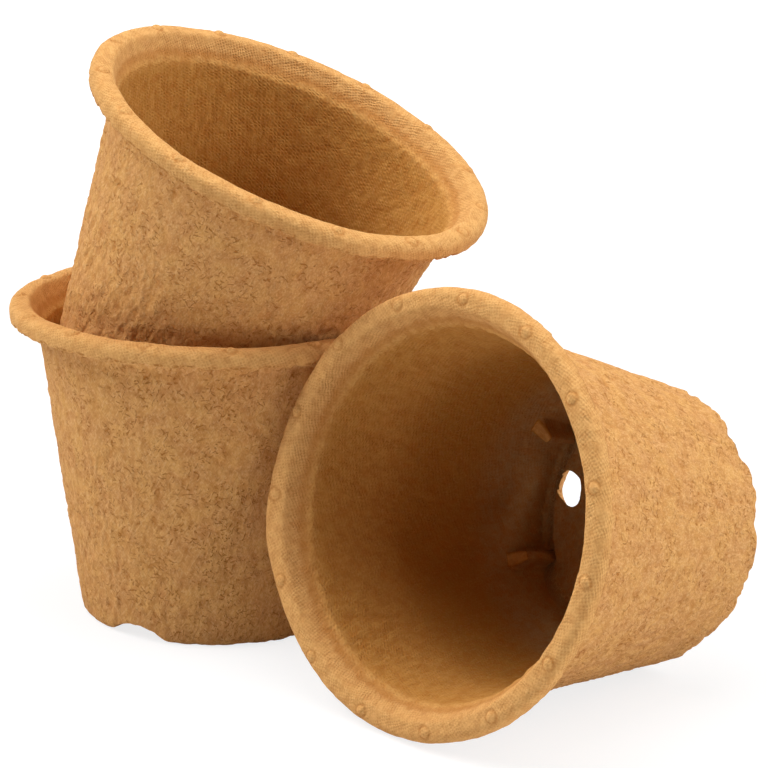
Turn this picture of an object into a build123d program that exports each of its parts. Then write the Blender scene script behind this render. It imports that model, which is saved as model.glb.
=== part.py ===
from build123d import *
import math
import os

# Three peat pots from one mould: one stands, one is cocked in its mouth, one lies beside them.
# Each pot is a single shell of pressed peat and paper fibre, so each is one solid.
# Lengths are in millimetres, angles in degrees.

# Rim: a flat ring whose outer edge turns down into a lip
rim_radius = 50.0
pot_height = 77.2
lip_drop = 4.6
lip_skirt = 2.2
rim_plate = 2.4
rim_edge_round = 1.6
lip_edge_round = 0.8
rim_width = 4.9
mouth_round = 1.2

# Shell: a straight taper that draws in from under the rim to the foot
wall = 1.8
rim_overhang = 5.7
wall_draw = 11.55

# Collar below the mouth and the sloped ledge under it
collar_depth = 4.2
ledge_drop = 2.0
ledge_step = 1.35
ledge_round = 0.8

# Base: a raised plate inside a hollow foot ring
plate_lift = 3.0
foot_ring_width = 7.25
foot_draft = 1.2
foot_round = 2.0
trough_round = 1.0

# Drain arches cut through the foot ring, and the drain holes between them
arch_count = 4
arch_width = 16.0
arch_height = 3.5
arch_reach = 13.0
hole_radius = 3.7
hole_inset = 3.0
hole_turn = -10.0

# Lugs inside the corner, which keep stacked pots from jamming
lug_count = 6
lug_width = 3.6
lug_reach = 5.0
lug_turn = -2.2
stack_clearance = 0.1

# Moulded dots on the rim
dot_count = 15
dot_radius = 1.3
dot_height = 0.5
dot_inset = 2.4

# How the three stand together
rest_clearance = 0.25
lean = 24.0
lean_heading = 18.0
nested_turn = 2.5
lower_turn = 58.2
lying_turn = 92.0
lying_rim_setback = 20.55
side_gap = 0.5

# How far cuts run past what they cut
overrun = 1.0

# Sizes that follow from those above
mouth_radius = rim_radius - rim_width
wall_top_radius = rim_radius - rim_overhang
wall_base_radius = wall_top_radius - wall_draw
foot_inner_radius = wall_base_radius - foot_ring_width
hole_circle_radius = foot_inner_radius - hole_inset
dot_circle_radius = rim_radius - dot_inset
taper = wall_draw / pot_height
slant = math.hypot(1, taper)
wall_across = wall * slant
lug_top = (wall_across + stack_clearance) / taper
shoulder_depth = collar_depth + ledge_drop + wall / 2
plate_top = plate_lift + wall
arch_radius = ((arch_width / 2) ** 2 + arch_height ** 2) / (2 * arch_height)
arch_step = 360 / arch_count
dot_ball_radius = (dot_radius ** 2 + dot_height ** 2) / (2 * dot_height)


def outside(z):
    # Radius of the shell's outer face at a height
    return wall_base_radius + taper * z


def inside(z):
    # Radius of the shell's inner face at a height
    return outside(z) - wall_across


collar_radius = inside(pot_height - collar_depth) + ledge_step
collar_slope = (mouth_radius - collar_radius) / collar_depth
channel_radius = mouth_radius - collar_slope * rim_plate + wall
skirt_radius = rim_radius - lip_skirt
ledge_depth = collar_depth + ledge_drop

# The shell's half section: radius, height and corner round, up the outside and down the inside
foot_corner = (wall_base_radius, 0, foot_round)
shoulder = (outside(pot_height - shoulder_depth), pot_height - shoulder_depth, ledge_round)
lip_corner = (rim_radius, pot_height - lip_drop, lip_edge_round)
rim_corner = (rim_radius, pot_height, rim_edge_round)
mouth_corner = (mouth_radius, pot_height, mouth_round)
collar_corner = (collar_radius, pot_height - collar_depth, ledge_round)
ledge_corner = (inside(pot_height - ledge_depth), pot_height - ledge_depth, ledge_round)
trough_corner = (inside(wall), wall, trough_round)
section = [
    (0, plate_lift, 0),
    (foot_inner_radius - foot_draft, plate_lift, trough_round),
    (foot_inner_radius, 0, trough_round),
    foot_corner,
    shoulder,
    (collar_radius + wall, pot_height - lip_drop, ledge_round),
    (channel_radius, pot_height - rim_plate, lip_edge_round),
    (skirt_radius, pot_height - rim_plate, lip_edge_round),
    (skirt_radius, pot_height - lip_drop, lip_edge_round),
    lip_corner,
    rim_corner,
    mouth_corner,
    collar_corner,
    ledge_corner,
    trough_corner,
    (foot_inner_radius + wall, wall, trough_round),
    (foot_inner_radius + wall - foot_draft, plate_top, trough_round),
    (0, plate_top, 0),
]


def turned(points):
    # Solid of revolution about Z from (radius, height, corner round) points
    outline = FilletPolyline(
        *[(r, z) for r, z, _ in points],
        radius=[corner for _, _, corner in points],
        close=True,
    )
    return revolve(Plane.XZ * make_face(outline), Axis.Z)


def around(shape, angle):
    return Rot(0, 0, angle) * shape


def make_core():
    # The room inside the middle of the shell's thickness, up to the shoulder
    middle = wall_across / 2
    top = pot_height - shoulder_depth
    return turned([
        (0, wall / 2, 0),
        (outside(wall / 2) - middle, wall / 2, 0),
        (outside(top) - middle, top, 0),
        (0, top, 0),
    ])


def arch_bar(radius):
    # A bar along X under the foot ring, whose top makes one arch
    length = arch_reach + overrun
    middle = wall_base_radius - arch_reach + length / 2
    return Pos(middle, 0, arch_height - arch_radius) * (Rot(0, 90, 0) * Cylinder(radius, length))


def make_lug():
    inner = inside(lug_top) - lug_reach
    length = outside(lug_top) - inner
    height = lug_top - wall / 2
    return Pos(inner + length / 2, 0, wall / 2 + height / 2) * Box(length, lug_width, height)


def make_hole():
    depth = plate_top + 2 * overrun
    return Pos(hole_circle_radius, 0, plate_top / 2) * Cylinder(hole_radius, depth)


def make_dot():
    # A low dome whose root is sunk in the rim
    ball = Pos(0, 0, dot_height - dot_ball_radius) * Sphere(dot_ball_radius)
    keep = Cylinder(dot_ball_radius, 2 * dot_height)
    return Pos(dot_circle_radius, 0, pot_height) * (ball & keep)


def make_pot():
    core = make_core()
    shell = turned(section)
    humps = [around(arch_bar(arch_radius + wall) & core, arch_step * (i + 1 / 2))
             for i in range(arch_count)]
    lugs = [around(make_lug() & core, 360 / lug_count * i + lug_turn) for i in range(lug_count)]
    dots = [around(make_dot(), 360 / dot_count * i) for i in range(dot_count)]
    arches = [around(arch_bar(arch_radius), arch_step * (i + 1 / 2)) for i in range(arch_count)]
    holes = [around(make_hole(), arch_step * i + hole_turn) for i in range(arch_count)]
    pot = shell + humps + lugs + dots
    return pot - arches - holes


def round_centre(before, corner, after):
    # Centre of a corner's round, from the corner's point and its two neighbours
    sides = [Vector(p[0] - corner[0], p[1] - corner[1]).normalized() for p in (before, after)]
    half_angle = math.acos(sides[0].dot(sides[1])) / 2
    bisector = (sides[0] + sides[1]).normalized()
    return Vector(corner[0], corner[1]) + bisector * (corner[2] / math.sin(half_angle))


foot_centre = round_centre((0, 0), foot_corner, shoulder)
lip_centre = round_centre((skirt_radius, pot_height - lip_drop), lip_corner, rim_corner)
mouth_centre = round_centre(rim_corner, mouth_corner, collar_corner)
ledge_centre = round_centre(collar_corner, ledge_corner, trough_corner)


def nested_place():
    # In the plane of the lean: the low side's wall bears on the mouth or the ledge,
    # and the high side's foot corner bears on the inside of the lower pot's wall
    tilt = math.radians(lean)
    across = Vector(math.cos(tilt), -math.sin(tilt))
    axis = Vector(math.sin(tilt), math.cos(tilt))
    wall_normal = (across - axis * taper) / slant
    inner_normal = Vector(1, taper) / slant
    inner_line = Vector(taper * -1, 1) / slant
    high_foot = across * -foot_centre.X + axis * foot_centre.Y
    bearing = foot_round + rest_clearance
    start = Vector(-inside(0), 0) + inner_normal * bearing - high_foot
    wall_foot = start + across * wall_base_radius
    needs = []
    for centre, corner_round in ((mouth_centre, mouth_round), (ledge_centre, ledge_round)):
        room = (centre - wall_foot).dot(wall_normal) - corner_round - rest_clearance
        needs.append(room / wall_normal.dot(inner_line))
    return start + inner_line * max(needs)


def lying_angle():
    # Slope of the line that touches both the foot corner and the lip
    reach = lip_centre - foot_centre
    turn = math.asin((lip_edge_round - foot_round) / reach.length)
    return math.degrees(math.atan2(reach.X, reach.Y) + turn)


def lying_height(angle):
    # Height of the base's centre above the floor
    slope = math.radians(angle)
    return foot_centre.X * math.cos(slope) - foot_centre.Y * math.sin(slope) + foot_round


def lying_place(angle):
    # Beside the lower pot, with side_gap between the lower edges of the two lips
    slope = math.radians(angle)
    base_height = lying_height(angle)
    lip_height = lip_centre.Y
    up_rim = (lip_height - base_height - lip_height * math.sin(slope)) / math.cos(slope)
    half_chord = math.sqrt(rim_radius ** 2 - up_rim ** 2)
    lip_y = (pot_height - lip_height) * math.cos(slope) - lying_rim_setback
    touch_y = lip_y + up_rim * math.sin(slope)
    x = half_chord + math.sqrt((rim_radius + side_gap) ** 2 - touch_y ** 2)
    return Vector(x, pot_height * math.cos(slope) - lying_rim_setback, base_height)


def make_set():
    pot = make_pot()
    lower = around(pot, lower_turn)
    seat = nested_place()
    nested = Pos(seat.X, 0, seat.Y) * (Rot(0, lean, 0) * around(pot, nested_turn))
    nested = around(nested, lean_heading)
    angle = lying_angle()
    place = lying_place(angle)
    lying = Pos(place.X, place.Y, place.Z) * (Rot(90 - angle, 0, 0) * around(pot, lying_turn))
    return {"lower_pot": lower, "nested_pot": nested, "lying_pot": lying}


# The origin is under the middle of the whole set, on the floor
pots = make_set()
boxes = [shape.bounding_box() for shape in pots.values()]
middle_x = (min(box.min.X for box in boxes) + max(box.max.X for box in boxes)) / 2
middle_y = (min(box.min.Y for box in boxes) + max(box.max.Y for box in boxes)) / 2
os.makedirs("parts", exist_ok=True)
for node, shape in pots.items():
    placed = Pos(-middle_x, -middle_y, 0) * shape
    placed.label = node
    export_step(placed, f"parts/{node}.step")
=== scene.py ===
import math

import bpy
import numpy as np
from mathutils import Matrix, Vector


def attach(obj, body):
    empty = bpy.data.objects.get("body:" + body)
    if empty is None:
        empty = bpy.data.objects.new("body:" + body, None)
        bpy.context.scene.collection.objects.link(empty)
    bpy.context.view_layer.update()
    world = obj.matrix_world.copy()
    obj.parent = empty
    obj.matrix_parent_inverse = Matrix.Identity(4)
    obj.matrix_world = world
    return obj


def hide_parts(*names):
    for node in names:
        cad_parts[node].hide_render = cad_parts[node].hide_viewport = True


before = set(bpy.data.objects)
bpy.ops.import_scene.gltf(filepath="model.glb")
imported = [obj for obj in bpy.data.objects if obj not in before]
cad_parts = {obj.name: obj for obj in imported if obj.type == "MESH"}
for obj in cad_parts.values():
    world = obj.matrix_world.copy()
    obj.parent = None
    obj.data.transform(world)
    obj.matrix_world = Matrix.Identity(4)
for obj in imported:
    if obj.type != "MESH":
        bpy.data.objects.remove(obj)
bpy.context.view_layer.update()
mm = 0.001
print("frame loaded:", sorted(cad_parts))


# The mould, in millimetres and degrees: every pot is pressed in the same one

mould = {
    "rimRadius": 50.0,
    "height": 77.2,
    "lipDrop": 4.6,
    "lipSkirt": 2.2,
    "rimPlate": 2.4,
    "rimEdgeRound": 2.3,
    "lipEdgeRound": 0.8,
    "rimWidth": 4.9,
    "mouthRound": 1.5,
    "wall": 1.8,
    "rimOverhang": 5.7,
    "wallDraw": 11.55,
    "collarDepth": 4.2,
    "ledgeDrop": 2.0,
    "ledgeStep": 1.0,
    "ledgeRound": 0.8,
    "grooveRound": 1.7,
    "ridgeRound": 2.0,
    "lipGrooveLift": 0.6,  # a thin groove round the lip, this far above its lower edge
    "lipGrooveDepth": 0.24,
    "lipGrooveWidth": 0.25,
    "plateLift": 3.0,
    "footRingWidth": 7.25,
    "webIn": 0.3,  # the web between plate and foot ring, as drawn out by its rounds
    "webOut": 1.4,
    "footRound": 2.0,
    "troughRound": 1.0,
    "archCount": 4,
    "archWidth": 16.0,
    "archHeight": 3.5,
    "archInner": 19.0,
    "archRamp": 2.0,  # an arch sets in over this stretch, outwards from archInner
    "archSink": 1.5,  # depth below the floor at which it is kept before that
    "archCrease": 0.5,  # rounding where an arch or a hump meets the shell
    "archCeiling": 12.0,  # rows above this height are left alone
    "holeRadius": 4.0,
    "holeRag": 0.16,  # how far the torn outline wanders, as a share of the radius
    "holeThin": 0.93,  # how far the plate thins out at a hole's torn edge
    "holeThinWidth": 2.6,
    "holeInset": 3.0,
    "holeTurn": -10.0,
    "lugCount": 6,
    "lugWidth": 3.3,
    "lugReach": 5.0,
    "lugTurn": -2.2,
    "lugTop": 13.6,
    "lugSide": (0.7, 0.1),  # a lug's sides fall away from this far within its width to this far without
    "lugEdge": (0.3, 0.35),  # its top falls away from this far below to this far above
    "lugPull": 0.96,  # share of the way in to the lug's face
    "dotCount": 15,
    "dotRadius": 1.3,
    "dotHeight": 0.5,
    "dotInset": 2.4,
    "dotBlunt": 0.6,  # power that blunts the dome
    "dotBand": 1.0,  # rows this close to the top carry the dots
    "dotMoat": 0.14,  # depth of the ring pressed round each dot
    "dotMoatOut": 0.15,  # how far outside the dot it is deepest
    "dotMoatWidth": 0.3,
    "dotDraw": 0.55,  # how much closer the grid's columns stand at the dots
    "screenWire": 0.66,  # gap between the forming screen's wires, up the wall
    "screenWires": 440,  # wires round the axis
    # The print's waves, at a slant as the screen lies: turns round the axis, as many wires up, and strength
    "rimPrint": [(365, 163, 0.46), (-163, 365, 0.46), (202, 528, 0.18)],
    "insidePrint": [(238, 97, 0.29), (-88, 282, 0.29), (150, 379, 0.34)],
    "around": 420,  # columns of the grid
}

taper = mould["wallDraw"] / mould["height"]
slant = math.hypot(1, taper)
baseRadius = mould["rimRadius"] - mould["rimOverhang"] - mould["wallDraw"]
wallAcross = mould["wall"] * slant
footInner = baseRadius - mould["footRingWidth"]
holeCircle = footInner - mould["holeInset"]
mouthRadius = mould["rimRadius"] - mould["rimWidth"]
archRadius = ((mould["archWidth"] / 2) ** 2 + mould["archHeight"] ** 2) / (2 * mould["archHeight"])
evenTurn = 2 * math.pi * np.arange(mould["around"]) / mould["around"]
columnTurn = evenTurn - mould["dotDraw"] * np.sin(mould["dotCount"] * evenTurn) / mould["dotCount"]


def outside(z):
    return baseRadius + taper * z


def inside(z):
    return outside(z) - wallAcross


def ease(low, high, x):  # 0 below low, 1 above high, a smooth S between
    t = np.clip((x - low) / (high - low), 0, 1)
    return t * t * (3 - 2 * t)


# Rows of the grid, along the half section: radii on the base, and spacing on each stretch above it

gridRows = {
    "plate": [0, 4.5, 9, 13, 16],
    "holes": (17.5, 27.6, 0.5),  # first, end and step of the rows that the drain holes pierce
    "webUnder": [28.3, 29.2, 30.0],
    "webOver": 28.4,
    "footStart": 0.4,  # from the last of webUnder to the foot's first row
    "troughEnd": 29.6,
    "arc": 0.38,
    "foot": 0.6,
    "wall": 1.2,
    "channel": 0.9,
    "skirt": 0.5,
    "lip": 0.25,
    "rim": 0.3,
    "collar": 0.7,
    "inside": 1.9,
    "lugEdge": 0.35,
    "lugEdgeReach": 1.4,  # how far the close rows run below and above the lugs' tops
    "lug": 1.6,
    "trough": 0.5,
    "lipMargin": (0.1, 0.5),  # a row this close to the skirt and this far below the plate is the lip's
}


def roundedRun(corners):
    # A polyline with an arc at each corner: the arc's ends lie round / tan(half angle) from the corner, its
    # centre on the bisector. A corner is radius, height, round and the rows' spacing up to the next corner.
    pts = np.array([c[:2] for c in corners], float)
    turns = [pts[:1]]
    for before, corner, after, (_, _, size, _) in zip(pts, pts[1:], pts[2:], corners[1:]):
        if not size:
            turns.append(corner[None])
            continue
        back = (before - corner) / np.linalg.norm(before - corner)
        ahead = (after - corner) / np.linalg.norm(after - corner)
        half = math.acos(back @ ahead) / 2
        bisector = (back + ahead) / np.linalg.norm(back + ahead)
        centre = corner + bisector * size / math.sin(half)
        start, end = (corner + way * size / math.tan(half) - centre for way in (back, ahead))
        first = math.atan2(start[1], start[0])
        sweep = (math.atan2(end[1], end[0]) - first + math.pi) % (2 * math.pi) - math.pi
        turn = first + sweep * np.linspace(0, 1, max(3, round(abs(sweep) * size / gridRows["arc"]) + 1))
        turns.append(centre + size * np.stack([np.cos(turn), np.sin(turn)], 1))
    turns.append(pts[-1:])
    rows = [turns[0]]
    for behind, following, (_, _, _, spacing) in zip(turns, turns[1:], corners):
        start, end = behind[-1], following[0]
        steps = max(1, round(np.linalg.norm(end - start) / spacing))
        rows.append(start + (end - start) * np.linspace(0, 1, steps + 1)[1:-1, None])
        rows.append(following)
    return np.concatenate(rows)


def potSection():
    # The half section, row by row: out along the underside, up the outside, over the rim, down the inside and
    # back along the floor. Returns radius, height and the row numbers where each stretch begins.
    m, g = mould, gridRows
    top = m["height"]
    shared = np.concatenate([g["plate"], np.arange(*g["holes"])])  # rows that underside and floor share
    underR = np.concatenate([shared, g["webUnder"]])
    underZ = m["plateLift"] * (1 - ease(footInner - m["webOut"], footInner + m["webIn"], underR))
    collarR = inside(top - m["collarDepth"]) + m["ledgeStep"]
    collarSlope = (mouthRadius - collarR) / m["collarDepth"]
    channelR = mouthRadius - collarSlope * m["rimPlate"] + m["wall"]
    skirtR = m["rimRadius"] - m["lipSkirt"]
    ledgeZ = top - m["collarDepth"] - m["ledgeDrop"]
    shoulderZ = ledgeZ - m["wall"] / 2
    lugOver, lugUnder = m["lugTop"] + g["lugEdgeReach"], m["lugTop"] - g["lugEdgeReach"]
    outer = roundedRun([
        (underR[-1] + g["footStart"], 0, 0, g["foot"]),
        (baseRadius, 0, m["footRound"], g["wall"]),
        (outside(shoulderZ), shoulderZ, m["ledgeRound"], g["channel"]),
        (collarR + m["wall"], top - m["lipDrop"], m["ledgeRound"], g["channel"]),
        (channelR, top - m["rimPlate"], m["lipEdgeRound"], g["channel"]),
        (skirtR, top - m["rimPlate"], m["lipEdgeRound"], g["channel"]),
        (skirtR, top - m["lipDrop"], m["lipEdgeRound"], g["skirt"]),
        (m["rimRadius"], top - m["lipDrop"], m["lipEdgeRound"], g["lip"]),
        (m["rimRadius"], top, m["rimEdgeRound"], g["rim"]),
        (mouthRadius, top, m["mouthRound"], g["collar"]),
        (collarR, top - m["collarDepth"], m["grooveRound"], g["collar"]),
        (inside(ledgeZ), ledgeZ, m["ridgeRound"], g["inside"]),
        (inside(lugOver), lugOver, 0, g["lugEdge"]),
        (inside(lugUnder), lugUnder, 0, g["lug"]),
        (inside(m["wall"]), m["wall"], m["troughRound"], g["trough"]),
        (g["troughEnd"], m["wall"], 0, 0),
    ])
    floorR = np.concatenate([shared, [g["webOver"]]])[::-1]
    web = ease(footInner + m["wall"] - m["webOut"], footInner + m["wall"] + m["webIn"], floorR)
    floorZ = m["wall"] + m["plateLift"] * (1 - web)
    radius = np.concatenate([underR, outer[:, 0], floorR])
    height = np.concatenate([underZ, outer[:, 1], floorZ])
    start = len(underR)
    number = np.arange(len(outer))
    rim = np.argmax(outer[:, 1] > top - 1e-6)
    beside, below = g["lipMargin"]
    lip = np.argmax((outer[:, 0] > skirtR - beside) & (outer[:, 1] < top - m["rimPlate"] - below))
    inner = np.argmax((outer[:, 1] < ledgeZ) & (number > rim))
    marks = {"shared": len(shared), "outer": start, "lip": start + int(lip), "rim": start + int(rim),
             "inner": start + int(inner), "floor": start + len(outer)}
    return radius, height, marks


# Noise in the pulp, in millimetres: the finest and the coarsest wave that each field keeps

pulpWaves = {
    "ragged": (2.5, 9.0),  # edges of the arches
    "fine": (1.2, 3.0),
    "lumps": (3.0, 9.0),
    "sway": (14.0, 40.0),
    "dents": (5.0, 16.0),  # at the foot
    "tear": (0.9, 4.0),  # along the lip
    "wave": (16.0, 60.0),  # along the rim
    "rowStep": 0.5,
    "radius": 40,  # where a field is to scale round the pot: half way up
    "tearRows": 60,  # the tears take their field's row at the rim's number modulo this
    "waveRow": 7,  # and the wave takes this one
}


def pulpNoise(rng, length, name):
    # White noise kept only between two wavelengths, by a band in its spectrum, so that it closes on itself
    # round the pot. One row for each step along the section, read off at the grid's columns, unit spread.
    finest, coarsest = pulpWaves[name]
    shape = (int(length / pulpWaves["rowStep"]) + 2, mould["around"])
    columnStep = 2 * math.pi * pulpWaves["radius"] / mould["around"]
    down = np.fft.fftfreq(shape[0], pulpWaves["rowStep"])[:, None]
    along = np.fft.rfftfreq(shape[1], columnStep)[None]
    waves = np.hypot(down, along)
    band = np.exp(-(waves * finest) ** 2) * (1 - np.exp(-(waves * coarsest) ** 2))
    field = np.fft.irfft2(np.fft.rfft2(rng.standard_normal(shape)) * band, s=shape)
    place = columnTurn % (2 * math.pi) / evenTurn[1]
    column = place.astype(int) % shape[1]
    share = (place % 1)[None]
    field = field[:, column] * (1 - share) + field[:, (column + 1) % shape[1]] * share
    return field / field.std()


def onRows(field, along):  # reads a noise field at each row's place along the section
    place = along / pulpWaves["rowStep"]
    row = np.minimum(place.astype(int), len(field) - 2)
    share = (place - row)[:, None]
    return field[row] * (1 - share) + field[row + 1] * share


def nearestOffset(azimuth, count, turn):  # signed angle to the nearest of count even marks
    step = 2 * math.pi / count
    return (azimuth - math.radians(turn) + step / 2) % step - step / 2


def softMax(a, b, blend):  # the larger of two heights, with the crease between them rounded
    return (a + b + np.sqrt((a - b) ** 2 + blend ** 2)) / 2


# How uneven the pulp is, in millimetres where it is a length; a pot may have its own value

unevenness = {
    "fine": 0.065,
    "lumps": 0.12,
    "sway": 0.10,
    "sunk": 0.22,  # everything outside lies this far in, so that no lump passes the mould
    "deepest": 1.2,  # and never farther in than this
    "insideMost": 0.2,  # the most that the inside moves either way
    "lipRough": 0.32,  # shares of the outside's roughness
    "insideRough": 0.7,
    "footSmooth": 0.7,  # taken from it at the foot
    "footZone": (1.5, 7.0),  # heights between which the foot gives way to the wall
    "footLumps": 0.35,
    "footLift": 0.6,  # how readily the foot dents
    "centreZone": (5, 15),  # radii between which the base's middle gives way to the rest
    "lipTear": 0.24,
    "tearLift": 0.3,  # how readily the lip tears
    "tearHeight": 2.0,
    "tearZone": (0.2, 1.5),  # how far past the skirt, and how far below the rim, the torn edge reaches
    "grooveFirm": (0.6, 0.5),  # how firm the lip's groove is, and how much that varies
    "rimWave": 0.12,
    "waveHeight": 14.0,  # how far down the wall it can be felt
    "waveDraw": 0.24,  # how far the rim draws in where its wave dips
    "bulge": 0.0,  # a place where the lip is pressed outwards
    "bulgeTurn": 0.0,
    "bulgeWidth": 16.0,
    "bulgeHeight": 8.0,
    "bulgeInset": 0.5,  # it begins this far outside the mouth
    "archRag": 0.12,
    # painted light: share of the inside's painted shade taken off the lugs' tops
    "lugTopLight": 0.85,
    "insideShadeZones": [(0.6, 10.0), (18, 42), (46, 64)],  # depths below the rim over which the inside changes tone: painted shade, darker zone by zone
    "edgeBand": 0.9,  # half height of the painted light on the lugs' tops, and of the painted shade in the collar's groove
    # how strongly each feature darkens the colour as painted shade, the domes lightening it as painted light
    "shadeOf": {"lumps": 0.6, "fine": 0.4, "dome": 1.2, "moat": 2.2, "collar": 2.2},
}


def potGrid(look):
    # Each row of the section carried round the axis, then moved along the section's normal by the pulp's
    # unevenness. Arches, humps, lugs and dots are heights or radii as functions of azimuth on their rows.
    m = mould
    rng = np.random.default_rng(look["seed"])
    rowR, rowZ, marks = potSection()
    rows = len(rowR)
    index = np.arange(rows)
    along = np.concatenate([[0], np.cumsum(np.hypot(np.diff(rowR), np.diff(rowZ)))])
    slopeR, slopeZ = np.gradient(rowR, along), np.gradient(rowZ, along)
    size = np.hypot(slopeR, slopeZ)
    normalR, normalZ = (slopeZ / size)[:, None], (-slopeR / size)[:, None]
    azimuth = columnTurn
    r = np.repeat(rowR[:, None], m["around"], 1)
    z = np.repeat(rowZ[:, None], m["around"], 1)

    def field(name):
        return onRows(pulpNoise(rng, along[-1], name), along)

    # Drain arches lift the foot ring; the shell's own thickness carries them through to the inside as humps
    archAway = nearestOffset(azimuth, m["archCount"], 180 / m["archCount"])[None]
    ragged = field("ragged")
    across = rowR[:, None] * np.sin(archAway)
    drop = archRadius - m["archHeight"]
    reach = ease(m["archInner"], m["archInner"] + m["archRamp"], rowR)[:, None]
    sink = m["archSink"] * (1 - reach)
    under = (index < marks["lip"])[:, None]
    back = (index > marks["inner"])[:, None]
    low = (rowZ < m["archCeiling"])[:, None]
    lifted = np.sqrt(np.maximum(archRadius ** 2 - across ** 2, 0)) - drop + look["archRag"] * ragged
    humped = np.sqrt(np.maximum((archRadius + m["wall"]) ** 2 - across ** 2, 0)) - drop
    z = np.where(under & low, softMax(z, lifted * reach - sink, m["archCrease"]), z)
    z = np.where(back & low, softMax(z, humped * reach - sink, m["archCrease"]), z)

    # Lugs: the inside wall, trough and floor drawn in to one radius over the lug's width, up to its top
    lugFace = inside(m["lugTop"]) - m["lugReach"]
    lugAway = lugFace * np.abs(np.sin(nearestOffset(azimuth, m["lugCount"], m["lugTurn"])))
    within, without = m["lugSide"]
    lugWidth = 1 - ease(m["lugWidth"] / 2 - within, m["lugWidth"] / 2 + without, lugAway)[None]
    below, above = m["lugEdge"]
    lugRise = 1 - ease(m["lugTop"] - below, m["lugTop"] + above, rowZ)[:, None]
    r = r - np.where(back, m["lugPull"] * lugWidth * lugRise, 0) * np.maximum(r - lugFace, 0)

    # Dots: low domes on the rim, each in a shallow ring
    dotAway = nearestOffset(azimuth, m["dotCount"], 0)[None]
    dotCircle = m["rimRadius"] - m["dotInset"]
    distance = np.hypot(r - dotCircle, dotCircle * np.sin(dotAway))
    onTop = (rowZ > m["height"] - m["dotBand"])[:, None]
    dome = np.where(onTop, np.clip(1 - (distance / m["dotRadius"]) ** 2, 0, 1) ** m["dotBlunt"], 0)
    ringAway = distance - m["dotRadius"] - m["dotMoatOut"]
    moat = np.where(onTop, np.exp(-(ringAway / m["dotMoatWidth"]) ** 2), 0)

    # Unevenness of pressed pulp, by zone
    fine, lumps, sway = field("fine"), field("lumps"), field("sway")
    isOuter = ((index >= marks["outer"]) & (index < marks["lip"]))[:, None]
    isLip = ((index >= marks["lip"]) & (index < marks["inner"]))[:, None]
    foot = np.where(index < marks["lip"], 1 - ease(*look["footZone"], rowZ), 0)[:, None]
    outerRough = 1 - look["footSmooth"] * foot
    rough = np.where(isOuter, outerRough, np.where(isLip, look["lipRough"], look["insideRough"]))
    shift = rough * (look["fine"] * fine + look["lumps"] * lumps + look["sway"] * sway)
    shift = shift - foot * look["footLumps"] * np.maximum(field("dents") + look["footLift"], 0)
    sunk = np.clip(shift - look["sunk"] * rough, -look["deepest"], 0)
    shift = np.where(isOuter | isLip, sunk, np.clip(shift, -look["insideMost"], look["insideMost"]))
    shift = shift * ease(*look["centreZone"], rowR)[:, None]
    r = r + normalR * shift
    z = z + normalZ * shift

    # Lip: a thin groove round its face, and its lower edge torn upwards here and there; rim: a slow wave
    lipZ = m["height"] - m["lipDrop"]
    onFace = rowR > m["rimRadius"] - m["lipEdgeRound"]
    grooveAway = rowZ - (lipZ + m["lipGrooveLift"])
    groove = np.where(onFace, np.exp(-(grooveAway / m["lipGrooveWidth"]) ** 2), 0)[:, None]
    firm, varies = look["grooveFirm"]
    groove = groove * np.clip(firm + varies * lumps[marks["lip"]], 0, 1)[None]
    r = r - m["lipGrooveDepth"] * groove
    past, down = look["tearZone"]
    lipFace = ((rowR > m["rimRadius"] - m["lipSkirt"] - past) & (rowZ < m["height"] - down))[:, None]
    lipHeight = np.clip((rowZ - lipZ) / look["tearHeight"], 0, 1)[:, None]
    tear = pulpNoise(rng, along[-1], "tear")[marks["rim"] % pulpWaves["tearRows"]]
    tear = np.maximum(tear + look["tearLift"], 0)[None] * look["lipTear"]
    z = z + np.where(lipFace, tear * (1 - lipHeight), 0)
    wave = pulpNoise(rng, along[-1], "wave")[pulpWaves["waveRow"]]
    wave = (wave - wave.max())[None] * look["rimWave"]
    top = ease(m["height"] - look["waveHeight"], m["height"], z)
    z = z + wave * top
    r = r + wave * top * look["waveDraw"]
    z = z + m["dotHeight"] * dome - m["dotMoat"] * moat
    z = np.maximum(z, 0)
    r = np.minimum(r, m["rimRadius"])
    bulgeAway = m["rimRadius"] * nearestOffset(azimuth, 1, look["bulgeTurn"])
    bulge = np.exp(-(bulgeAway / look["bulgeWidth"]) ** 2)[None]
    flare = ease(mouthRadius + look["bulgeInset"], m["rimRadius"], r)
    flare = np.where(z > m["height"] - look["bulgeHeight"], flare, 0)
    r = r + look["bulge"] * bulge * flare
    print(look["node"], "grid", rows, "rows by", m["around"])

    # What the material reads: where the screen printed, how far painted shade darkens the inside, painted
    # shade in hollows, and painted shade along the lip's groove
    screen = np.where((index < marks["lip"]) | (np.abs(index - marks["floor"]) < 2), 0.0, 1.0)[:, None]
    depth = m["height"] - rowZ
    isInside = index > marks["rim"]
    # Painted shade: the inside darker the deeper it lies below the rim
    insideShade = np.where(isInside, sum(ease(*zone, depth) for zone in look["insideShadeZones"]), 0.0)[:, None]
    # Painted light: the lugs' tops lighter, as if lit
    atLugTop = (np.abs(rowZ - m["lugTop"]) < look["edgeBand"])[:, None]
    insideShade = insideShade * (1 - look["lugTopLight"] * np.where(back & atLugTop, lugWidth, 0))
    # Painted shade: darker in the collar's groove, the lumps' low places and the dots' rings; the dots' tops
    # lighter as painted light
    collarAway = (depth - m["collarDepth"]) / look["edgeBand"]
    collar = np.where(isInside, np.exp(-collarAway ** 2), 0)[:, None]
    shade = look["shadeOf"]
    relief = rough * (lumps * shade["lumps"] + fine * shade["fine"])
    relief = relief + shade["dome"] * dome - shade["moat"] * moat - shade["collar"] * collar
    # The lip's groove also goes to the material, as the mask of painted shade along it
    return {"r": r, "z": z, "azimuth": azimuth, "along": along, "marks": marks, "rng": rng, "rowR": rowR,
            "screen": np.broadcast_to(screen, r.shape), "insideShade": np.broadcast_to(insideShade, r.shape),
            "relief": relief, "lipGrooveShade": groove}


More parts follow.
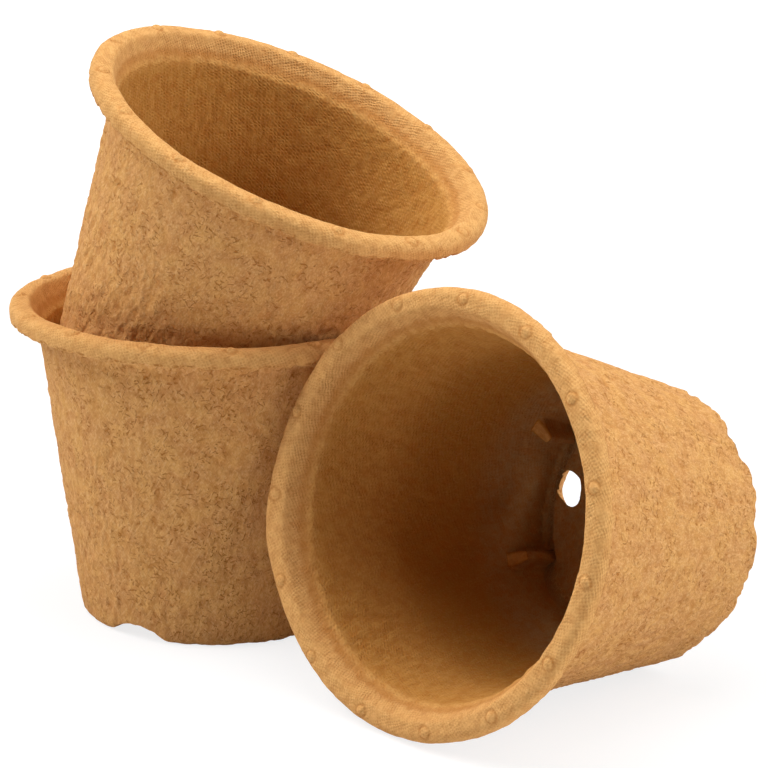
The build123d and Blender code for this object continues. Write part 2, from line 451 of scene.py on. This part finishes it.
def drainCells(grid):
    # Cells of the shared rows whose middle lies in a drain hole, and the corners moved onto its torn outline
    m = mould
    count = grid["marks"]["shared"]
    rows, turn = grid["rowR"][:count], grid["azimuth"]
    middle = turn + (np.roll(turn, -1) - turn) % (2 * math.pi) / 2
    away = nearestOffset(turn, m["archCount"], m["holeTurn"])
    step = 2 * math.pi / m["archCount"]
    number = np.round((turn - math.radians(m["holeTurn"])) / step).astype(int) % m["archCount"]
    phase = grid["rng"].uniform(0, 2 * math.pi, (m["archCount"], 3))

    def outline(bearing, hole):  # radius of the torn hole at a bearing
        rag = sum(np.sin((k + 2) * bearing + phase[hole, k]) / (k + 2) for k in range(3))
        return m["holeRadius"] * (1 + m["holeRag"] * rag)

    def seen(radius, angle):  # distance and bearing from the hole's middle
        u = radius * np.cos(angle) - holeCircle
        v = radius * np.sin(angle)
        return np.hypot(u, v), np.arctan2(v, u)

    midR = (rows[:-1] + rows[1:])[:, None] / 2
    midAway = nearestOffset(middle, m["archCount"], m["holeTurn"])[None]
    distance, bearing = seen(midR, midAway)
    gone = distance < outline(bearing, number[None])
    gone[0] = False
    touch = np.zeros((count, len(turn)), int)
    for dr in (0, 1):
        for dc in (0, 1):
            touch[dr:count - 1 + dr] += np.roll(gone, dc, 1)
    edge = (touch > 0) & (touch < 4)
    distance, bearing = seen(rows[:, None], away[None])
    target = outline(bearing, np.broadcast_to(number[None], edge.shape))
    u = holeCircle + target * np.cos(bearing)
    v = target * np.sin(bearing)
    newR = np.where(edge, np.hypot(u, v), rows[:, None])
    newTurn = np.where(edge, (turn - away)[None] + np.arctan2(v, u), turn[None])
    thin = 1 - ease(0, m["holeThinWidth"], distance - target)
    return gone, newR, newTurn, thin


def potTurn(look):  # turned about its own axis, leaned over, then headed
    heading, lean, turn = (math.radians(look[key]) for key in ("heading", "lean", "turn"))
    return Matrix.Rotation(heading, 3, "Z") @ Matrix.Rotation(lean, 3, "Y") @ Matrix.Rotation(turn, 3, "Z")


def potMesh(look):
    # The grid closed at both poles and through the drain holes, whose edges underside and floor share
    grid = potGrid(look)
    rows, columns = grid["r"].shape
    gone, holeR, holeTurn, thin = drainCells(grid)
    count = grid["marks"]["shared"]
    r, z = grid["r"].copy(), grid["z"].copy()
    z[:count] += mould["holeThin"] * thin * np.maximum(z[rows - count:][::-1] - z[:count], 0)
    turn = np.repeat(grid["azimuth"][None], rows, 0)
    moved = holeR - grid["rowR"][:count, None]
    r[:count] += moved
    turn[:count] = holeTurn
    r[rows - count:] += moved[::-1]
    turn[rows - count:] = holeTurn[::-1]
    points = np.stack([r * np.cos(turn), r * np.sin(turn), z], 2)
    flat = np.concatenate([points[:1, 0], points[1:-1].reshape(-1, 3), points[-1:, 0]])
    number = np.zeros((rows, columns), int)
    number[1:-1] = 1 + np.arange((rows - 2) * columns).reshape(rows - 2, columns)
    number[-1] = len(flat) - 1

    def corners(numbers):  # of every cell, in the order that turns the face outwards
        right = np.roll(numbers, -1, 1)
        return np.stack([numbers[:-1], right[:-1], right[1:], numbers[1:]], 2)

    cells = corners(number)
    keep = np.ones((rows - 1, columns), bool)
    keep[:count - 1] &= ~gone
    keep[rows - count:] &= ~gone[::-1]
    keep[0] = keep[-1] = False
    startFan = cells[0][:, [0, 2, 3]]
    endFan = cells[-1][:, [0, 1, 2]]
    lowCells, upCells = corners(number[:count]), corners(number[rows - count:][::-1])
    padded = np.pad(gone, ((1, 1), (0, 0)))
    sides = (
        (0, 1, gone & ~padded[:-2]),
        (1, 2, gone & ~np.roll(gone, -1, 1)),
        (2, 3, gone & ~padded[2:]),
        (3, 0, gone & ~np.roll(gone, 1, 1)),
    )
    bridge = np.concatenate([
        np.stack([lowCells[s][:, a], lowCells[s][:, b], upCells[s][:, b], upCells[s][:, a]], 1)
        for a, b, s in sides
    ])
    quads = np.concatenate([cells[keep], bridge])
    faces = quads.tolist() + startFan.tolist() + endFan.tolist()

    # Two more values on each corner: where the forming screen's wires run, in wires
    wire = mould["screenWire"]
    wireTurn = mould["screenWires"] * np.append(columnTurn, 2 * math.pi) / (2 * math.pi)
    screenU = np.repeat(wireTurn[None], rows, 0)
    screenV = np.repeat(grid["along"][:, None] / wire, columns + 1, 1)
    planar = (np.arange(rows) >= grid["marks"]["floor"])[:, None]
    closed = np.concatenate([points, points[:, :1]], 1)
    screenU = np.where(planar, closed[..., 0] / wire, screenU)
    screenV = np.where(planar, closed[..., 1] / wire, screenV)
    uv = np.stack([screenU, screenV], 2)
    uvCells = np.stack([uv[:-1, :-1], uv[:-1, 1:], uv[1:, 1:], uv[1:, :-1]], 2)
    uvFlat = np.concatenate([
        uvCells[keep].reshape(-1, 2),
        np.zeros((len(bridge) * 4, 2)),
        uvCells[0][:, [0, 2, 3]].reshape(-1, 2),
        uvCells[-1][:, [0, 1, 2]].reshape(-1, 2),
    ])

    placed = (flat @ np.array(potTurn(look)).T + np.array(look["base"])) * mm
    mesh = bpy.data.meshes.new(look["name"])
    mesh.from_pydata(placed.tolist(), [], faces)
    mesh.polygons.foreach_set("use_smooth", np.ones(len(faces), bool))
    layer = mesh.uv_layers.new(name="screenWires")
    layer.uv.foreach_set("vector", uvFlat.astype(np.float32).ravel())
    for name in ("screen", "insideShade", "relief", "lipGrooveShade"):
        field = grid[name]
        values = np.concatenate([field[:1, 0], field[1:-1].ravel(), field[-1:, 0]])
        store = mesh.attributes.new(name, "FLOAT", "POINT")
        store.data.foreach_set("value", values.astype(np.float32))
    mesh.validate()
    piece = bpy.data.objects.new(look["name"], mesh)
    bpy.context.scene.collection.objects.link(piece)
    print(look["name"], len(flat), "points", len(faces) * 2 - 2 * columns, "triangles")
    return piece


# Pulp: pressed peat and paper fibre, rough outside and printed by the forming screen on rim and inside.
# A cell is a noise's size in millimetres; a pair of levels is where a mark begins and where it is full.

pulp = {
    "gold": (0.795, 0.431, 0.143),  # clouds of two tones
    "rose": (0.755, 0.398, 0.146),
    "cloudCell": {"across": 5.5, "detail": 2.0},
    "cloudLevels": (0.30, 0.70),
    "smooth": (0.81, 0.448, 0.156),  # the rim and its lip, pressed smoother
    "smoothShare": 0.8,
    "insideShade": (0.595, 0.300, 0.069),  # painted shade on the inside, below the mouth
    "brown": (0.43, 0.200, 0.034),  # darker painted shade half way down
    "deep": (0.455, 0.275, 0.108),  # and painted shade towards the base
    "light": (0.90, 0.60, 0.30),  # pale fibres
    "shade": (0.42, 0.126, 0.010),  # what fibres, cracks and hollows go towards; in cracks, hollows and the lip's groove it is painted shade
    "printedRough": 0.32,  # what is left of fibres and cracks where the screen printed
    "fibreCell": {"across": 0.36, "along": 1.3},
    "fibreTilts": (28.0, -21.0),
    "fibreShift": 0.01,  # shifts go by the tilt, so that no two fields are alike
    "darkLevels": (0.44, 0.28),
    "fibreShare": 0.18,
    "paleLevels": (0.60, 0.76),
    "lightShare": 0.24,
    "fibreDepth": 0.10,
    "crackCell": {"across": 0.64, "along": 1.5, "bend": 0.5},
    "crackTilts": (62.0, -30.0, -81.0),
    "crackShift": 1.7,
    "crackLevels": (0.27, 0.16),
    "crackPatchCell": {"across": 6.0, "detail": 1.0, "shift": 2.0},  # cracks come in patches
    "crackPatchLevels": (0.28, 0.62),
    "crackShare": 0.60,
    "crackDepth": 0.18,
    "grooveShadeCell": {"across": 0.7, "along": 1.4, "detail": 1.0, "shift": 5.0},  # breaks in the painted shade along the lip's groove
    "grooveShadeCellLevels": (0.36, 0.56),
    "grooveShadeLevels": (0.1, 0.5),
    "looseCell": {"across": 1.6, "shift": 3.0},  # wires out of true
    "looseWires": 1.0,
    "insideLevels": (0.15, 0.6),  # levels of the inside's painted shade over which the rim's print gives way to the inside's
    "firmCell": {"across": 3.0, "detail": 1.0, "shift": 4.0},  # where the screen pressed harder
    "firmLevels": (0.30, 0.66),
    "firmLeast": 0.3,
    "firmMore": 0.8,
    "weaveLevels": (0.3, -0.8),
    "weaveShare": 0.30,
    "weaveDepth": 0.07,
    "grainCell": {"across": 0.5, "detail": 1.0, "shift": 0.7},
    "grainLevels": (0.60, 0.30),
    "grainShare": 0.13,
    "grainDepth": 0.03,
    "blotchCell": {"across": 1.9, "along": 2.6, "tilt": 14.0, "detail": 2.0, "shift": 6.0},
    "blotchLevels": (0.62, 0.32),
    "blotchShare": 0.24,
    "blotchInside": 0.4,  # the inside is more mottled by this share
    # painted shade in the hollows of the relief
    "hollowLevels": (0.2, -2.0),
    "hollowShare": 0.40,
    "pitCell": {"across": 2.0, "along": 3.0, "tilt": 8.0, "detail": 1.0, "shift": 1.1},
    "pitDepth": 0.78,
    "printedPits": 0.5,  # what is left of them where the screen printed
    "roughness": 0.92,
    "specular": 0.18,
}


def pulpMaterial(look):
    material = bpy.data.materials.new(look["name"] + "Pulp")
    material.use_nodes = True
    tree = material.node_tree
    tree.nodes.clear()

    def node(kind, **settings):
        made = tree.nodes.new(kind)
        for key, value in settings.items():
            setattr(made, key, value)
        return made

    def join(source, target):
        tree.links.new(source, target)

    def sums(operation, *values):
        made = node("ShaderNodeMath", operation=operation)
        for socket, value in zip(made.inputs, values):
            if isinstance(value, (int, float)):
                socket.default_value = value
            else:
                join(value, socket)
        return made.outputs[0]

    def noise(across, along=None, tilt=0.0, detail=0.0, shift=0.0):
        # Cells across wide and along long, the long way up the pot's axis or tilted from it
        turned = node("ShaderNodeMapping", vector_type="TEXTURE")
        turned.inputs["Location"].default_value = (shift, shift, shift)
        turned.inputs["Rotation"].default_value = (math.radians(tilt), math.radians(tilt), 0)
        turned.inputs["Scale"].default_value = (across * mm, across * mm, (along or across) * mm)
        join(potPlace, turned.inputs["Vector"])
        made = node("ShaderNodeTexNoise")
        made.inputs["Scale"].default_value = 1.0
        made.inputs["Detail"].default_value = detail
        join(turned.outputs["Vector"], made.inputs["Vector"])
        return made.outputs["Fac"]

    def streak(across, along, bend, tilt, shift):
        # Cells that lie in the surface, the long way up the pot's wall or tilted from it, and bent
        turned = node("ShaderNodeMapping", vector_type="TEXTURE")
        turned.inputs["Location"].default_value = (shift, shift, 0)
        turned.inputs["Rotation"].default_value = (0, 0, math.radians(tilt))
        turned.inputs["Scale"].default_value = (across / mould["screenWire"], along / mould["screenWire"], 1)
        join(wirePlace, turned.inputs["Vector"])
        made = node("ShaderNodeTexNoise", noise_dimensions="2D")
        made.inputs["Scale"].default_value = 1.0
        made.inputs["Detail"].default_value = 0.0
        made.inputs["Distortion"].default_value = bend
        join(turned.outputs["Vector"], made.inputs["Vector"])
        return made.outputs["Fac"]

    def blend(share, a, b):  # a where share is 0, b where it is 1
        made = node("ShaderNodeMix", data_type="RGBA")
        join(share, made.inputs["Factor"])
        for socket, value in ((made.inputs["A"], a), (made.inputs["B"], b)):
            if isinstance(value, tuple):
                socket.default_value = (*value, 1)
            else:
                join(value, socket)
        return made.outputs["Result"]

    def rise(value, low, high):  # 0 at low, 1 at high, a smooth S between
        made = node("ShaderNodeMapRange", interpolation_type="SMOOTHSTEP", clamp=True)
        join(value, made.inputs["Value"])
        made.inputs["From Min"].default_value = low
        made.inputs["From Max"].default_value = high
        return made.outputs["Result"]

    def stored(name):
        return node("ShaderNodeAttribute", attribute_name=name).outputs["Fac"]

    toPot = node("ShaderNodeMapping", vector_type="POINT")
    toPot.inputs["Rotation"].default_value = potTurn(look).transposed().to_euler("XYZ")
    join(node("ShaderNodeTexCoord").outputs["Object"], toPot.inputs["Vector"])
    potPlace = toPot.outputs["Vector"]
    wirePlace = node("ShaderNodeUVMap", uv_map="screenWires").outputs["UV"]
    screen, insideShade = stored("screen"), stored("insideShade")
    bare = sums("SUBTRACT", 1.0, screen)

    # The rough outside: fine fibres in two slants, and short cracks at the lowest places of long thin cells,
    # darkened in colour as painted shade besides their bump
    rough = sums("MULTIPLY_ADD", bare, 1 - pulp["printedRough"], pulp["printedRough"])
    fibres = [noise(**pulp["fibreCell"], tilt=t, shift=pulp["fibreShift"] * t) for t in pulp["fibreTilts"]]
    least = sums("MINIMUM", *fibres)
    fibre = sums("MULTIPLY", least, rough)
    dark = sums("MULTIPLY", rise(least, *pulp["darkLevels"]), rough)
    pale = sums("MULTIPLY", rise(sums("MAXIMUM", *fibres), *pulp["paleLevels"]), rough)
    strokes = [streak(**pulp["crackCell"], tilt=t, shift=pulp["crackShift"] * t) for t in pulp["crackTilts"]]
    strokes = [rise(stroke, *pulp["crackLevels"]) for stroke in strokes]
    crack = sums("MAXIMUM", strokes[0], sums("MAXIMUM", *strokes[1:]))
    patch = rise(noise(**pulp["crackPatchCell"]), *pulp["crackPatchLevels"])
    crack = sums("MULTIPLY", sums("MULTIPLY", crack, patch), rough)
    # Painted shade along the lip's groove, broken here and there, joins the cracks
    ragged = rise(noise(**pulp["grooveShadeCell"]), *pulp["grooveShadeCellLevels"])
    crack = sums("MAXIMUM", crack, sums("MULTIPLY", rise(stored("lipGrooveShade"), *pulp["grooveShadeLevels"]), ragged))

    # The forming screen's print: waves along the sets of wires
    wires = node("ShaderNodeSeparateXYZ")
    join(wirePlace, wires.inputs[0])
    loose = sums("MULTIPLY", noise(**pulp["looseCell"]), pulp["looseWires"])

    def woven(waves):  # the sum of the waves that one print is made of
        total = 0.0
        for *turns, strength in waves:
            run = [sums("MULTIPLY", wires.outputs[k], turns[k] / mould["screenWires"]) for k in (0, 1)]
            wave = sums("SINE", sums("MULTIPLY", sums("ADD", sums("ADD", *run), loose), 2 * math.pi))
            total = sums("MULTIPLY_ADD", wave, strength, total)
        return total

    rimPrint, insidePrint = woven(mould["rimPrint"]), woven(mould["insidePrint"])
    within = rise(insideShade, *pulp["insideLevels"])
    weave = sums("MULTIPLY_ADD", within, sums("SUBTRACT", insidePrint, rimPrint), rimPrint)
    firm = rise(noise(**pulp["firmCell"]), *pulp["firmLevels"])
    firm = sums("MULTIPLY_ADD", firm, pulp["firmMore"], pulp["firmLeast"])
    weave = sums("MULTIPLY", sums("MULTIPLY", weave, screen), firm)

    # Colour: the clouds, the tones of rim and inside, then each kind of mark over them
    colour = blend(rise(noise(**pulp["cloudCell"]), *pulp["cloudLevels"]), pulp["rose"], pulp["gold"])
    colour = blend(sums("MULTIPLY", screen, pulp["smoothShare"]), colour, pulp["smooth"])
    # Painted shade: the inside darkened zone by zone towards the base
    for zone, tone in enumerate(("insideShade", "brown", "deep")):
        colour = blend(rise(insideShade, zone, zone + 1.0), colour, pulp[tone])
    grain = noise(**pulp["grainCell"])
    more = sums("MULTIPLY_ADD", rise(insideShade, 0.0, 1.0), pulp["blotchInside"], 1.0)
    blotch = sums("MULTIPLY", rise(noise(**pulp["blotchCell"]), *pulp["blotchLevels"]), more)
    # Hollows and the lip's groove take painted shade, cracks partly; blotches, grain, print and fibres are
    # the pulp's own tone
    marks = (
        (blotch, "blotchShare", "shade"),
        (rise(grain, *pulp["grainLevels"]), "grainShare", "shade"),
        (rise(stored("relief"), *pulp["hollowLevels"]), "hollowShare", "shade"),
        (rise(weave, *pulp["weaveLevels"]), "weaveShare", "shade"),
        (dark, "fibreShare", "shade"),
        (pale, "lightShare", "light"),
        (crack, "crackShare", "shade"),
    )
    for mark, share, tone in marks:
        colour = blend(sums("MULTIPLY", mark, pulp[share]), colour, pulp[tone])

    # Relief too fine for the grid
    pitted = sums("MULTIPLY_ADD", bare, 1 - pulp["printedPits"], pulp["printedPits"])
    pits = sums("MULTIPLY", noise(**pulp["pitCell"]), pitted)
    height = sums("MULTIPLY", grain, pulp["grainDepth"])
    height = sums("MULTIPLY_ADD", pits, pulp["pitDepth"], height)
    height = sums("MULTIPLY_ADD", fibre, pulp["fibreDepth"], height)
    height = sums("MULTIPLY_ADD", weave, pulp["weaveDepth"], height)
    height = sums("MULTIPLY_ADD", crack, -pulp["crackDepth"], height)
    bump = node("ShaderNodeBump")
    bump.inputs["Strength"].default_value = 1.0
    bump.inputs["Distance"].default_value = mm
    join(height, bump.inputs["Height"])

    shader = node("ShaderNodeBsdfPrincipled")
    join(colour, shader.inputs["Base Color"])
    shader.inputs["Roughness"].default_value = pulp["roughness"]
    shader.inputs["Specular IOR Level"].default_value = pulp["specular"]
    join(bump.outputs["Normal"], shader.inputs["Normal"])
    join(shader.outputs["BSDF"], node("ShaderNodeOutputMaterial").inputs["Surface"])
    return material


# The three pots: where each sits, as base centre, turn about its own axis, lean and the heading of the lean

pots = [
    {"node": "lower_pot", "name": "lowerPot", "seed": 11, "base": (-46.1747, -5.8906, 0.0),
     "turn": 58.2, "lean": 0.0, "heading": 0.0, "footLumps": 0.12, "archRag": 0.06},
    {"node": "nested_pot", "name": "nestedPot", "seed": 23, "base": (-56.4239, -9.2208, 50.0716),
     "turn": 2.5, "lean": 24.0, "heading": 18.0},
    {"node": "lying_pot", "name": "lyingPot", "seed": 37, "base": (46.1747, 48.6743, 31.7273),
     "turn": 182.0, "lean": 76.6533, "heading": -90.0, "bulge": 1.7, "bulgeTurn": 103.0, "footLumps": 0.42},
]

for pot in pots:
    piece = potMesh({**unevenness, **pot})
    piece.data.materials.append(pulpMaterial(pot))
    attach(piece, pot["node"])
    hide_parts(pot["node"])
print("pots made")


# Studio: a white floor that keeps a faint shadow, white all round for the camera, and soft lamps

studio = {
    "floorSize": 8.0,
    "floorPaint": 0.80,
    "floorShown": 0.26,  # share of the floor's own light that the camera sees
    "floorGlow": 0.80,  # near the pots; it rises to 1 over this stretch of distance
    "glowFrom": 0.25,
    "glowTo": 0.90,
    "worldLight": 0.02,
    "lamps": [
        {"name": "topLamp", "from": (0.0, 0.0, 1.60), "size": 1.2, "watts": 13.8},
        {"name": "leftLamp", "from": (-0.75, -0.77, 1.15), "size": 1.2, "watts": 18.0},
        {"name": "rightLamp", "from": (0.75, 0.77, 1.15), "size": 1.2, "watts": 9.0},
        {"name": "lowLamp", "from": (1.35, 0.45, 0.55), "size": 1.2, "watts": 8.0},
    ],
    "aim": (0.0, 0.0, 0.06),
}


def whiteToEye(tree):  # 1 for rays from the camera and for mirrored or bent ones
    path = tree.nodes.new("ShaderNodeLightPath")
    total = path.outputs["Is Camera Ray"]
    for name in ("Is Glossy Ray", "Is Transmission Ray"):
        add = tree.nodes.new("ShaderNodeMath")
        add.operation = "ADD"
        add.use_clamp = True
        tree.links.new(total, add.inputs[0])
        tree.links.new(path.outputs[name], add.inputs[1])
        total = add.outputs[0]
    return total


def mixToEye(tree, lit, seen, output):  # lit for the scene's light, seen for the camera
    mix = tree.nodes.new("ShaderNodeMixShader")
    tree.links.new(whiteToEye(tree), mix.inputs[0])
    tree.links.new(lit, mix.inputs[1])
    tree.links.new(seen, mix.inputs[2])
    tree.links.new(mix.outputs[0], tree.nodes.new(output).inputs[0])


def makeFloor():
    half = studio["floorSize"] / 2
    corners = [(-half, -half, 0), (half, -half, 0), (half, half, 0), (-half, half, 0)]
    mesh = bpy.data.meshes.new("floor")
    mesh.from_pydata(corners, [], [(0, 1, 2, 3)])
    floor = bpy.data.objects.new("floor", mesh)
    bpy.context.scene.collection.objects.link(floor)
    material = bpy.data.materials.new("floorPaint")
    material.use_nodes = True
    tree = material.node_tree
    tree.nodes.clear()
    shaders = []
    for paint in (studio["floorPaint"], studio["floorShown"]):
        matt = tree.nodes.new("ShaderNodeBsdfDiffuse")
        matt.inputs["Color"].default_value = (paint, paint, paint, 1)
        shaders.append(matt.outputs[0])
    glow = tree.nodes.new("ShaderNodeEmission")
    away = tree.nodes.new("ShaderNodeVectorMath")
    away.operation = "LENGTH"
    tree.links.new(tree.nodes.new("ShaderNodeTexCoord").outputs["Object"], away.inputs[0])
    fade = tree.nodes.new("ShaderNodeMapRange")
    for name, key in (("From Min", "glowFrom"), ("From Max", "glowTo"), ("To Min", "floorGlow")):
        fade.inputs[name].default_value = studio[key]
    fade.inputs["To Max"].default_value = 1.0
    tree.links.new(away.outputs["Value"], fade.inputs["Value"])
    tree.links.new(fade.outputs["Result"], glow.inputs["Strength"])
    both = tree.nodes.new("ShaderNodeAddShader")
    tree.links.new(shaders[1], both.inputs[0])
    tree.links.new(glow.outputs[0], both.inputs[1])
    mixToEye(tree, shaders[0], both.outputs[0], "ShaderNodeOutputMaterial")
    mesh.materials.append(material)


def makeWorld():
    world = bpy.data.worlds.new("studio")
    world.use_nodes = True
    tree = world.node_tree
    tree.nodes.clear()
    lit = tree.nodes.new("ShaderNodeBackground")
    lit.inputs["Strength"].default_value = studio["worldLight"]
    seen = tree.nodes.new("ShaderNodeBackground")
    for background in (lit, seen):
        background.inputs["Color"].default_value = (1, 1, 1, 1)
    mixToEye(tree, lit.outputs[0], seen.outputs[0], "ShaderNodeOutputWorld")
    bpy.context.scene.world = world


def makeLamp(lamp):
    light = bpy.data.lights.new(lamp["name"], "AREA")
    light.shape = "DISK"
    light.size = lamp["size"]
    light.energy = lamp["watts"]
    holder = bpy.data.objects.new(lamp["name"], light)
    bpy.context.scene.collection.objects.link(holder)
    place = Vector(lamp["from"])
    facing = (Vector(studio["aim"]) - place).to_track_quat("-Z", "Y")
    holder.matrix_world = Matrix.Translation(place) @ facing.to_matrix().to_4x4()


makeFloor()
makeWorld()
for lamp in studio["lamps"]:
    makeLamp(lamp)
print("studio lit")


# Camera: the photograph's viewing angle

view = {
    "from": (0.510487, -0.496119, 0.260037),
    "right": (0.696207, 0.717504, 0.021990),
    "up": (-0.204848, 0.169221, 0.964055),
    "forward": (-0.687992, 0.675686, -0.264792),
    "lens": 148.75,
    "sensor": 36.0,
    "clipStart": 0.01,
}


def makeCamera():
    camera = bpy.data.cameras.new("camera")
    camera.lens = view["lens"]
    camera.sensor_width = view["sensor"]
    camera.clip_start = view["clipStart"]
    holder = bpy.data.objects.new("camera", camera)
    bpy.context.scene.collection.objects.link(holder)
    axes = Matrix((view["right"], view["up"], -Vector(view["forward"]))).transposed()
    holder.matrix_world = Matrix.Translation(view["from"]) @ axes.to_4x4()
    bpy.context.scene.camera = holder


makeCamera()
bpy.context.scene.view_settings.view_transform = "Standard"
print("camera set")
